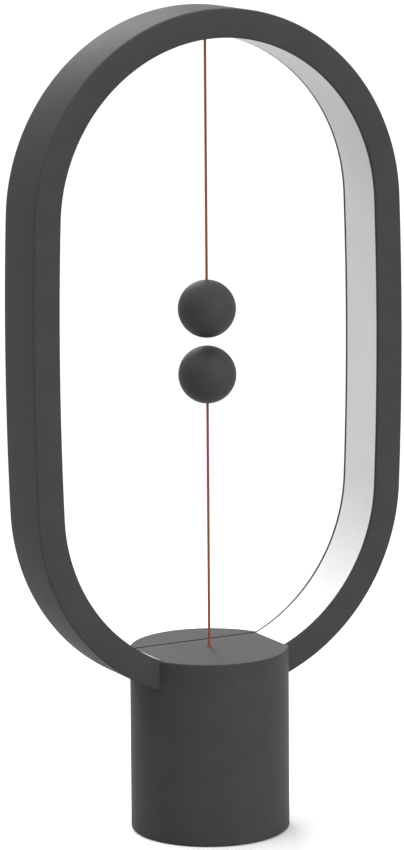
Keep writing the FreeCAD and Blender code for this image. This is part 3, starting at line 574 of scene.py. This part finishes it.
end_radius = ring_width / 2 - ring_side_bow
middle_z = (overall_height + ring_bottom) / 2
centre_rise = overall_height - end_radius - middle_z
side_radius = (centre_rise ** 2 / ring_side_bow + end_radius + ring_width / 2) / 2
side_centre = side_radius - ring_width / 2
blend_angle = math.atan2(centre_rise, side_centre)
end_lean = math.asin(ring_end_x / end_radius)
low_centre_z = middle_z - centre_rise


def oval_path(inset):
    """Points on the oval that many millimetres inside the ring's outer edge."""
    arcs = [(0, low_centre_z, end_radius, end_lean - math.pi / 2, -blend_angle),
            (-side_centre, middle_z, side_radius, -blend_angle, blend_angle),
            (0, middle_z + centre_rise, end_radius, blend_angle, math.pi - blend_angle),
            (side_centre, middle_z, side_radius, math.pi - blend_angle, math.pi + blend_angle),
            (0, low_centre_z, end_radius, math.pi + blend_angle, 1.5 * math.pi - end_lean)]
    points = []
    for x, z, radius, first, last in arcs:
        count = math.ceil(radius * (last - first) / path_step)
        angles = [first + (last - first) * number / count for number in range(count + 1)]
        points += [(x + (radius - inset) * math.cos(a), 0, z + (radius - inset) * math.sin(a))
                   for a in angles[1 if points else 0:]]
    return points


print("the oval's path has", len(oval_path(0)), "points")

# %% [markdown]
# ## The sweep
#
# Both mouldings of the ring have the same section all the way round, so one tree can make them: it
# carries a flat section along the path.  The section is drawn as depth (towards the back) against
# inset (from the ring's outer edge), and the path's normal is fixed to +Y so that the section
# never turns.  Each corner says in its radius whether it is rounded, 1 for yes and 0 for no, and
# the tree rounds those.  Spin or an array would need a separate run for each arc of the oval.

# %% Build the sweep tree
sweep, given, result = shape_tree(
    "swept_ring", ("Path", "Geometry", None), ("Section", "Object", None),
    ("Corner Round", "Float", 0.4 * mm), ("Corner Steps", "Int", 5), ("Material", "Material", None))
steady = add(sweep, "GeometryNodeSetCurveNormal", mode="FREE", Curve=given["Path"],
             Normal=(0, 1, 0)).outputs[0]
section = add(sweep, "GeometryNodeObjectInfo", Object=given["Section"]).outputs["Geometry"]
is_round = add(sweep, "GeometryNodeInputRadius").outputs[0]
rounded = add(sweep, "GeometryNodeFilletCurve", mode="POLY", Curve=section,
              Radius=calc(sweep, "MULTIPLY", is_round, given["Corner Round"]),
              Count=given["Corner Steps"]).outputs[0]
swept = add(sweep, "GeometryNodeCurveToMesh", Curve=steady, Profile_Curve=rounded,
            Fill_Caps=True).outputs[0]
same_point = 0.002
merged = add(sweep, "GeometryNodeMergeByDistance", Geometry=swept, Distance=same_point * mm)
end_tree(sweep, merged.outputs[0], given["Material"], result)


def swept_ring(name, rounding, corners):
    """Sweeps a section round the oval: corners are (depth, inset, 1 to round it or 0)."""
    section = line_object(name + "_section", [(depth, inset, 0) for depth, inset, _ in corners],
                          cyclic=True, radii=[rounded for _, _, rounded in corners])
    mesh = grow(name, line_object(name, oval_path(0)), sweep, Section=section,
                Corner_Round=rounding * mm, Material=charcoal)
    bpy.data.objects.remove(section)
    return mesh


# %% [markdown]
# ## The ring's front moulding
#
# The front moulding is the flat charcoal face and the outer wall in one, with a rail inside that
# the frosted band is pressed against.  Two tabs at its cut ends take the screws that hold the ring
# in the base, and a boss above each tab takes a screw of the rear cover.  The sweep makes what
# follows the oval, and the tabs and bosses are added as blocks and posts, because each stands at
# one place only.

# %% Sweep the front moulding
front, back = -ring_depth / 2, ring_depth / 2
parting = back - cover_thickness
inside = front + ring_wall
rail_low, rail_high, rail_depth = 10.9, 12.0, 1.5
ring_front = swept_ring("ring_front_moulding", front_round, [
    (front, 0, 1), (parting, 0, 0), (parting, ring_wall, 0), (inside, ring_wall, 0),
    (inside, rail_low, 0), (inside + rail_depth, rail_low, 0), (inside + rail_depth, rail_high, 0),
    (inside, rail_high, 0), (inside, ring_thickness, 0), (front, ring_thickness, 1)])
print("front moulding as swept:", len(ring_front.polygons), "faces")

# %% Add its tabs and bosses
def oval_low_z(inset, x):
    """Height of the oval's lower arc at that inset and x."""
    return low_centre_z - math.sqrt((end_radius - inset) ** 2 - x ** 2)


tab_x, tab_width, tab_drop = 24.0, 9.0, 8.0
boss_radius, boss_sides = 2.6, 32
strip_thickness, chip_height, band_thickness = 0.4, 0.8, 1.8
strip_face = ring_wall + strip_thickness
tab_screw_z = oval_low_z(0, tab_x) - tab_drop
cover_screw_z = (oval_low_z(strip_face + chip_height, tab_x)
                 + oval_low_z(ring_thickness - band_thickness, tab_x)) / 2
tab_low, tab_top = tab_screw_z - tab_width / 2, oval_low_z(ring_wall / 2, tab_x - tab_width / 2)

work = bmesh.new()
work.from_mesh(ring_front)
for side in (-1, 1):
    middle = Vector((side * tab_x, (front + inside) / 2, (tab_low + tab_top) / 2)) * mm
    size = Vector((tab_width, ring_wall, tab_top - tab_low)) * mm
    bmesh.ops.create_cube(work, size=1.0,
                          matrix=Matrix.Translation(middle) @ Matrix.Diagonal((*size, 1)))
    middle = Vector((side * tab_x, (inside + parting) / 2, cover_screw_z)) * mm
    bmesh.ops.create_cone(work, cap_ends=True, segments=boss_sides, radius1=boss_radius * mm,
                          radius2=boss_radius * mm, depth=(parting - inside) * mm,
                          matrix=Matrix.Translation(middle) @ Matrix.Rotation(math.pi / 2, 4, "X"))
work.to_mesh(ring_front)
work.free()
settle("ring_front_moulding", ring_front, "lamp", "charcoal_plastic", "ring_frame")

# %% [markdown]
# ## The ring's rear cover
#
# The cover is a flat plate with a lip that drops inside the outer wall and a rail for the back of
# the frosted band.  It follows the same path, with its own section and less rounded edges.  It
# could be made in one with the front moulding, but a second sweep leaves the real joint open.

# %% Sweep the rear cover
lip_play, lip_thickness = 0.1, 1.2
lip_low = ring_wall + lip_play
lip_high = lip_low + lip_thickness
rib_end = parting - rail_depth
ring_back = swept_ring("ring_rear_moulding", rear_round, [
    (parting, 0, 0), (back, 0, 1), (back, ring_thickness, 1), (parting, ring_thickness, 0),
    (parting, rail_high, 0), (rib_end, rail_high, 0), (rib_end, rail_low, 0),
    (parting, rail_low, 0), (parting, lip_high, 0), (rib_end, lip_high, 0),
    (rib_end, lip_low, 0), (parting, lip_low, 0)])
settle("ring_rear_moulding", ring_back, "lamp", "charcoal_plastic", "ring_rear_cover")

# %% [markdown]
# ## Light chips along the strip
#
# Behind the frosted band a flexible strip carries the light chips, one every fifteen millimetres.
# They repeat along a path, so one chip is drawn and a tree sets copies of it: points are counted
# out from the crown to both sides, moved onto the path at their distances, and turned to face
# inwards.

# %% Draw one light chip
chip_length, chip_width = 3.5, 2.8
window_edge, window_slope, window_sunk = 0.35, 0.12, 0.12

work = bmesh.new()
bmesh.ops.create_cube(work, size=1.0, matrix=Matrix.Translation((0, 0, chip_height / 2 * mm))
                      @ Matrix.Diagonal((chip_length * mm, chip_width * mm, chip_height * mm, 1)))
top = max(work.faces, key=lambda face: face.calc_center_median().z)
bmesh.ops.inset_region(work, faces=[top], thickness=window_edge * mm, depth=0.0)
bmesh.ops.inset_region(work, faces=[top], thickness=window_slope * mm, depth=-window_sunk * mm)
top.material_index = 1
chip_mesh = bpy.data.meshes.new("chip")
work.to_mesh(chip_mesh)
work.free()
window = chip_mesh.attributes.new("window", "BOOLEAN", "FACE")
for face in chip_mesh.polygons:
    window.data[face.index].value = face.material_index == 1
    face.material_index = 0
chip = bpy.data.objects.new("chip", chip_mesh)
scene.collection.objects.link(chip)
print("one chip has", len(chip_mesh.polygons), "faces")

# %% Build the tree that sets chips along a path
rows, given, result = shape_tree(
    "chips_along_path", ("Path", "Geometry", None), ("Chip", "Object", None), ("Count", "Int", 52),
    ("Pitch", "Float", 15 * mm), ("Case", "Material", None), ("Phosphor", "Material", None))
steady = add(rows, "GeometryNodeSetCurveNormal", mode="FREE", Curve=given["Path"],
             Normal=(0, 1, 0)).outputs[0]
path_length = add(rows, "GeometryNodeCurveLength", Curve=steady).outputs[0]
half_length = calc(rows, "MULTIPLY", path_length, 0.5)
half_count = calc(rows, "MULTIPLY_ADD", given["Count"], 0.5, -0.5)
from_crown = calc(rows, "SUBTRACT", add(rows, "GeometryNodeInputIndex").outputs[0], half_count)
distance = calc(rows, "MULTIPLY_ADD", from_crown, given["Pitch"], half_length)
sample = add(rows, "GeometryNodeSampleCurve", mode="LENGTH", Curves=steady, Length=distance).outputs
inwards = vector_calc(rows, "CROSS_PRODUCT", sample["Tangent"], sample["Normal"])
facing = add(rows, "FunctionNodeAxesToRotation", primary_axis="Z", secondary_axis="X",
             Primary_Axis=inwards, Secondary_Axis=sample["Tangent"]).outputs[0]
points = add(rows, "GeometryNodePoints", Count=given["Count"],
             Position=sample["Position"]).outputs[0]
shape = add(rows, "GeometryNodeObjectInfo", Object=given["Chip"]).outputs["Geometry"]
copies = add(rows, "GeometryNodeInstanceOnPoints", Points=points, Instance=shape,
             Rotation=facing).outputs[0]
whole = add(rows, "GeometryNodeRealizeInstances", Geometry=copies).outputs[0]
cased = add(rows, "GeometryNodeSetMaterial", Geometry=whole, Material=given["Case"]).outputs[0]
is_window = add(rows, "GeometryNodeInputNamedAttribute", data_type="BOOLEAN",
                Name="window").outputs[0]
glazed = add(rows, "GeometryNodeSetMaterial", Geometry=cased, Material=given["Phosphor"],
             Selection=is_window)
feed(rows, glazed.outputs[0], result["Geometry"])
print("tree", rows.name + ":", len(rows.nodes), "nodes")

# %% Set the chips
chip_count, chip_pitch = 52, 15
chip_lift = 0.036    # the strip curves away under a flat chip, and solder lies between
path = line_object("chip_path", oval_path(strip_face + chip_lift))
chips = grow("light_chip_row", path, rows, Chip=chip, Count=chip_count, Pitch=chip_pitch * mm,
             Case=chip_case, Phosphor=phosphor)
bpy.data.objects.remove(chip)
settle("light_chip_row", chips, "lamp", "light_chip", "light_chips")

# %% [markdown]
# ## Screws
#
# Small slotted screws hold the ring, its cover, the bottom plate, the ballast, the board and the
# switch.  A screw is a turned part, so the tree makes each half of it as a tube along an upright
# line whose radius changes on the way: the head bulges like a dome, and the shank rises and falls
# with the thread.  A block is taken out of the head for the slot.  The tree sets a copy at each
# point, tilts it, and turns it by a random amount from a fixed seed, because no one lines the
# slots up.

# %% Build the screw tree
dome_drop, dome_power = 0.28, 4.0
root_share, tip_share, tip_pitches = 0.86, 0.45, 1.5
screw_sides, head_steps, shank_steps, shank_in_head = 28, 9, 61, 0.1 * mm
screws, given, result = shape_tree(
    "slotted_screws", ("Places", "Geometry", None), ("Head Radius", "Float", 2.4 * mm),
    ("Head Height", "Float", 1.4 * mm), ("Shank Radius", "Float", 1.2 * mm),
    ("Length", "Float", 8 * mm), ("Thread Pitch", "Float", 0.8 * mm),
    ("Slot Width", "Float", 0.7 * mm), ("Slot Depth", "Float", 0.6 * mm),
    ("Tilt", "Rotation", None), ("Seed", "Int", 0), ("Material", "Material", None))


def upright(tree, low, high, steps, radius_of):
    """A turned form: a round tube on the Z axis, whose radius is a rule of height."""
    ends = [add(tree, "ShaderNodeCombineXYZ", Z=end).outputs[0] for end in (low, high)]
    line = add(tree, "GeometryNodeCurvePrimitiveLine", Start=ends[0], End=ends[1]).outputs[0]
    stepped = add(tree, "GeometryNodeResampleCurve", Curve=line, Count=steps).outputs[0]
    height = add(tree, "ShaderNodeSeparateXYZ",
                 Vector=add(tree, "GeometryNodeInputPosition").outputs[0]).outputs["Z"]
    wide = add(tree, "GeometryNodeSetCurveRadius", Curve=stepped,
               Radius=radius_of(height)).outputs[0]
    ring = add(tree, "GeometryNodeCurvePrimitiveCircle", Resolution=screw_sides,
               Radius=1.0).outputs["Curve"]
    tube = add(tree, "GeometryNodeCurveToMesh", Curve=wide, Profile_Curve=ring, Fill_Caps=True,
               Scale=add(tree, "GeometryNodeInputRadius").outputs[0])
    return tube.outputs[0]


def head_radius(height):
    """Full radius at the seat, and a shallow dome towards the top."""
    share = calc(screws, "DIVIDE", height, given["Head Height"])
    dome = calc(screws, "MULTIPLY", calc(screws, "POWER", share, dome_power), dome_drop)
    return calc(screws, "MULTIPLY", given["Head Radius"], calc(screws, "SUBTRACT", 1.0, dome))


def thread_radius(height):
    """Swings between root and crest with the thread, and thins over the last pitches."""
    turns = calc(screws, "DIVIDE", height, given["Thread Pitch"])
    crest = calc(screws, "MULTIPLY_ADD", calc(screws, "PINGPONG", turns, 0.5),
                 2 * (1 - root_share), root_share)
    to_tip = calc(screws, "ADD", height, given["Length"])
    tip_length = calc(screws, "MULTIPLY", given["Thread Pitch"], tip_pitches)
    pointed = calc(screws, "MINIMUM", calc(screws, "DIVIDE", to_tip, tip_length), 1.0)
    point = calc(screws, "MULTIPLY_ADD", pointed, 1 - tip_share, tip_share)
    return calc(screws, "MULTIPLY", given["Shank Radius"], calc(screws, "MULTIPLY", crest, point))


head = upright(screws, 0.0, given["Head Height"], head_steps, head_radius)
tip = calc(screws, "MULTIPLY", given["Length"], -1.0)
shank = upright(screws, tip, shank_in_head, shank_steps, thread_radius)
past_head = calc(screws, "MULTIPLY", given["Head Radius"], 3.0)
both_ways = calc(screws, "MULTIPLY", given["Slot Depth"], 2.0)
slot_size = add(screws, "ShaderNodeCombineXYZ", X=past_head, Y=given["Slot Width"],
                Z=both_ways).outputs[0]
slot_place = add(screws, "ShaderNodeCombineXYZ", Z=given["Head Height"]).outputs[0]
slot_block = add(screws, "GeometryNodeTransform", Translation=slot_place,
                 Geometry=add(screws, "GeometryNodeMeshCube", Size=slot_size).outputs["Mesh"])
slotted = add(screws, "GeometryNodeMeshBoolean", operation="DIFFERENCE", solver="EXACT",
              Mesh_1=head, Mesh_2=slot_block.outputs[0]).outputs["Mesh"]
one = add(screws, "GeometryNodeJoinGeometry", Geometry=slotted)
feed(screws, shank, one.inputs[0])
turn = add(screws, "FunctionNodeRandomValue", data_type="FLOAT", Min=0.0, Max=math.pi,
           Seed=given["Seed"])
spin = add(screws, "ShaderNodeCombineXYZ", Z=turn.outputs["Value"]).outputs[0]
stance = add(screws, "FunctionNodeRotateRotation", rotation_space="LOCAL", Rotation=given["Tilt"],
             Rotate_By=spin).outputs[0]
copies = add(screws, "GeometryNodeInstanceOnPoints", Points=given["Places"],
             Instance=one.outputs[0], Rotation=stance).outputs[0]
end_tree(screws, copies, given["Material"], result)

# %% Set the screws
def around(radius, height, *angles):
    """Places round the lamp's axis at that height, at these angles in degrees."""
    return [(radius * math.cos(math.radians(a)), radius * math.sin(math.radians(a)), height)
            for a in angles]


plate_seat, board_seat, column_seat, ballast_seat = 1.8, 16.4, 18.4, 11.6
plate_screw_radius, board_screw_radius, column_screw_y = 28.6, 25.0, 10.4
head_up, head_down, head_back = (0, 0, 0), (math.pi, 0, 0), (-math.pi / 2, 0, 0)
screw_sets = [
    ("plate_screws", head_down, around(plate_screw_radius, plate_seat, -43, -137, 58, 122)),
    ("board_screws", head_up, around(board_screw_radius, board_seat, 190, -60, 18)),
    ("guide_screws", head_up, [(0, side * column_screw_y, column_seat) for side in (1, -1)]),
    ("ballast_screw", head_up, [(0, 0, ballast_seat)]),
    ("ring_screws", head_back, [(side * tab_x, inside, tab_screw_z) for side in (-1, 1)]),
    ("ring_cover_screws", head_back, [(side * tab_x, back, cover_screw_z) for side in (-1, 1)]),
]
for seed, (node, tilt, places) in enumerate(screw_sets):
    mesh = grow(node + "_turned", points_object(node + "_places", places), screws, Tilt=tilt,
                Seed=seed, Material=steel)
    settle(node + "_turned", mesh, "lamp", "steel", node)

# %% [markdown]
# ## Contacts of the supply socket
#
# The tongue of the socket carries a row of flat contacts on each face.  They are the same little
# bar twenty-four times, so a tree sets them on a grid of two rows.

# %% Build the contact tree and set the contacts
contacts, given, result = shape_tree(
    "socket_contacts", ("Middle", "Geometry", None), ("Count", "Int", 12),
    ("Pitch", "Float", 0.5 * mm), ("Row Gap", "Float", 0.72 * mm),
    ("Bar", "Vector", (0.26 * mm, 3.6 * mm, 0.05 * mm)), ("Material", "Material", None))
width = calc(contacts, "MULTIPLY", calc(contacts, "SUBTRACT", given["Count"], 1.0), given["Pitch"])
grid = add(contacts, "GeometryNodeMeshGrid", Size_X=width, Size_Y=given["Row Gap"],
           Vertices_X=given["Count"], Vertices_Y=2).outputs["Mesh"]
stood = add(contacts, "GeometryNodeTransform", Geometry=grid,
            Rotation=(math.pi / 2, 0, 0)).outputs[0]
bar = add(contacts, "GeometryNodeMeshCube", Size=given["Bar"]).outputs["Mesh"]
row = add(contacts, "GeometryNodeInstanceOnPoints", Points=stood, Instance=bar).outputs[0]
at_middle = add(contacts, "GeometryNodeInstanceOnPoints", Points=given["Middle"],
                Instance=row).outputs[0]
end_tree(contacts, at_middle, given["Material"], result)

socket_z, tongue_middle_y = 18.03, 33.4
tongue = points_object("tongue_middle", [(0, tongue_middle_y, socket_z)])
mesh = grow("socket_contact_rows", tongue, contacts, Material=nickel)
settle("socket_contact_rows", mesh, "lamp", "nickel")

# %% [markdown]
# ## Braided strings
#
# Each string is eight strands of yarn round a core: four wind to the left, four to the right, and
# each strand goes over and under those it meets.  The route is a few control points, because a
# taut string is straight, and a spline makes its line.  The tree copies that line eight times and
# moves each copy out and round.  A strand's distance from the middle swings four times a turn, and
# the two ways swing against each other, which is what weaves them.  A picture of a braid on a
# plain tube would look flat at its edges.  The strands' backs stand a little outside the string's
# own radius.

# %% Build the braid tree
strand_count, strand_sides = 8, 5
core_sides, core_sunk = 10, 0.6
braid, given, result = shape_tree(
    "braided_string", ("Line", "Geometry", None), ("Radius", "Float", 0.65 * mm),
    ("Strand Radius", "Float", 0.2 * mm), ("Weave", "Float", 0.035 * mm),
    ("Turn Length", "Float", 3.6 * mm), ("Step", "Float", 0.2 * mm),
    ("Material", "Material", None))
curve = add(braid, "GeometryNodeMeshToCurve", Mesh=given["Line"]).outputs[0]
core_line = add(braid, "GeometryNodeResampleCurve", mode="LENGTH", Curve=curve,
                Length=given["Step"]).outputs[0]
copies = add(braid, "GeometryNodeDuplicateElements", domain="SPLINE", Geometry=core_line,
             Amount=strand_count)
number = copies.outputs["Duplicate Index"]
in_first_half = calc(braid, "LESS_THAN", number, strand_count / 2 - 0.5)
way = calc(braid, "MULTIPLY_ADD", in_first_half, 2.0, -1.0)
along = add(braid, "GeometryNodeSplineParameter").outputs["Length"]
turned = calc(braid, "MULTIPLY", calc(braid, "DIVIDE", along, given["Turn Length"]), 2 * math.pi)
angle = calc(braid, "MULTIPLY_ADD", number, 4 * math.pi / strand_count,
             calc(braid, "MULTIPLY", turned, way))
outermost = calc(braid, "SUBTRACT", given["Radius"], given["Strand Radius"])
middle = calc(braid, "SUBTRACT", outermost, given["Weave"])
wave = calc(braid, "COSINE", calc(braid, "MULTIPLY", turned, strand_count / 2))
swing = calc(braid, "MULTIPLY", wave, way)
reach = calc(braid, "MULTIPLY_ADD", swing, given["Weave"], middle)
normal = add(braid, "GeometryNodeInputNormal").outputs[0]
tangent = add(braid, "GeometryNodeInputTangent").outputs[0]
sideways = vector_calc(braid, "CROSS_PRODUCT", tangent, normal)
offset = vector_calc(braid, "ADD",
                     vector_calc(braid, "SCALE", normal, calc(braid, "COSINE", angle)),
                     vector_calc(braid, "SCALE", sideways, calc(braid, "SINE", angle)))
strands = add(braid, "GeometryNodeSetPosition", Geometry=copies.outputs["Geometry"],
              Offset=vector_calc(braid, "SCALE", offset, reach)).outputs[0]


def round_tube(line, radius, sides):
    """A tube with capped ends along a line."""
    ring = add(braid, "GeometryNodeCurvePrimitiveCircle", Resolution=sides, Radius=radius)
    return add(braid, "GeometryNodeCurveToMesh", Curve=line, Profile_Curve=ring.outputs["Curve"],
               Fill_Caps=True).outputs[0]


core_radius = calc(braid, "MULTIPLY_ADD", given["Strand Radius"], -core_sunk, given["Radius"])
both = add(braid, "GeometryNodeJoinGeometry",
           Geometry=round_tube(strands, given["Strand Radius"], strand_sides))
feed(braid, round_tube(core_line, core_radius, core_sides), both.inputs[0])
end_tree(braid, both.outputs[0], given["Material"], result)

# %% Route and braid the two strings
def spline_line(name, route):
    """The smooth line that a NURBS spline makes of a route, as a mesh of points and edges."""
    curve = bpy.data.curves.new(name, "CURVE")
    curve.dimensions = "3D"
    spline = curve.splines.new("NURBS")
    spline.points.add(len(route) - 1)
    for point, at in zip(spline.points, route):
        point.co = (*(v * mm for v in at), 1.0)
    spline.order_u = 3
    spline.use_endpoint_u = True
    drawn_line = bpy.data.objects.new(name, curve)
    line = bpy.data.objects.new(name, bpy.data.meshes.new_from_object(drawn_line))
    bpy.data.objects.remove(drawn_line)
    scene.collection.objects.link(line)
    return line


string_radius, yarn_spread = 0.65, 0.03
# For each string: its name, its route, where it leaves the fixed end, and its length.
strings = [
    ("upper", [(0, 0, 385.15), (0, 0, 345), (0, 0, 300), (0, 0, 263.45)], (0, 0, 386.1), 121.7),
    ("lower", [(0, 0, 93.95), (0, 0, 130), (0, 0, 175), (0, 0, 216.15)], (0, 0, 90.0), 122.2),
]
for which, route, leaves_at, length in strings:
    line = spline_line(which + "_string_line", route)
    path = [tuple(v.co) for v in line.data.vertices]
    mesh = grow(which + "_string_braid", line, braid, Radius=(string_radius + yarn_spread) * mm,
                Material=yarn)
    piece = settle(which + "_string_braid", mesh, which + "_line", "red_string", which + "_string",
                   sharp_from=180)
